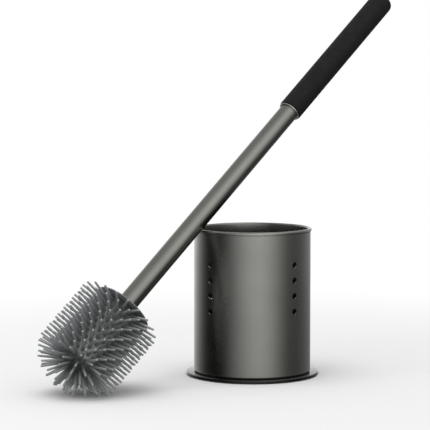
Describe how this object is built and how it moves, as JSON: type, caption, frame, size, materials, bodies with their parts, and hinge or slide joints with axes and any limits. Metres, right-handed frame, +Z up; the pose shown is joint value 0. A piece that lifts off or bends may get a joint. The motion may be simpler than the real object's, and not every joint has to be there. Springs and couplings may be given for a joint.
{
  "type": "toilet brush set",
  "caption": "Perforated round metal holder on a flat base disc, with a soft-bristled brush whose rubber-gripped tube handle leans on the rim.",
  "frame": {"origin": "centre of the holder's underside, on the surface it stands on", "axes": "+Z up; +X to the right and +Y away from the viewer, with the brush leaning from front left to back right"},
  "size_m": [0.2876, 0.2519, 0.3156],
  "materials": {
    "gunmetal": "satin gunmetal coating",
    "base_black": "gloss black",
    "black_plastic": "fine matt",
    "head_plastic": "satin blue-grey",
    "silicone": "soft blue-grey silicone",
    "grip_rubber": "matt black",
    "pad_rubber": "matt",
    "steel": "satin",
    "brass": "turned"
  },
  "bodies": {
    "holder": {"base_pad": "pad_rubber", "base_disc": "base_black", "base_spigot": "black_plastic", "base_screw_1": "steel", "base_screw_2": "steel", "base_screw_3": "steel", "base_screw_4": "steel", "sleeve": "gunmetal", "rim_ring": "gunmetal"},
    "drip_cup": {"drip_cup": "black_plastic"},
    "brush_head": {"flange_disc": "head_plastic", "head_insert": "brass", "head_core": "head_plastic", "bristle_sleeve": "silicone"},
    "seal": {"seal_washer": "pad_rubber"},
    "brush_handle": {"handle_tube": "gunmetal", "tube_plug": "black_plastic", "thread_stud": "steel", "ferrule_ring": "steel", "grip_sleeve": "grip_rubber"}
  },
  "joints": [
    {"name": "brush_lift", "type": "slide", "parent": "holder", "child": "brush_head", "axis": [0, 0, 1], "range_m": [0, 0.2]},
    {"name": "handle_travel", "type": "slide", "parent": "brush_head", "child": "seal", "axis": [0.5752, 0.4886, 0.6561], "range_m": [0, 0.0121]},
    {"name": "handle_unscrew", "type": "hinge", "parent": "seal", "child": "brush_handle", "pos_m": [-0.1022, -0.07462, 0.0634], "axis": [0.5752, 0.4886, 0.6561], "range_deg": [0, 2160]},
    {"name": "drip_cup_lift", "type": "slide", "parent": "holder", "child": "drip_cup", "axis": [0, 0, 1], "range_m": [0, 0.055]}
  ],
  "couplings": [
    {"joint": "handle_travel", "follows": "handle_unscrew", "m_per_rad": 0.00031831}
  ]
}
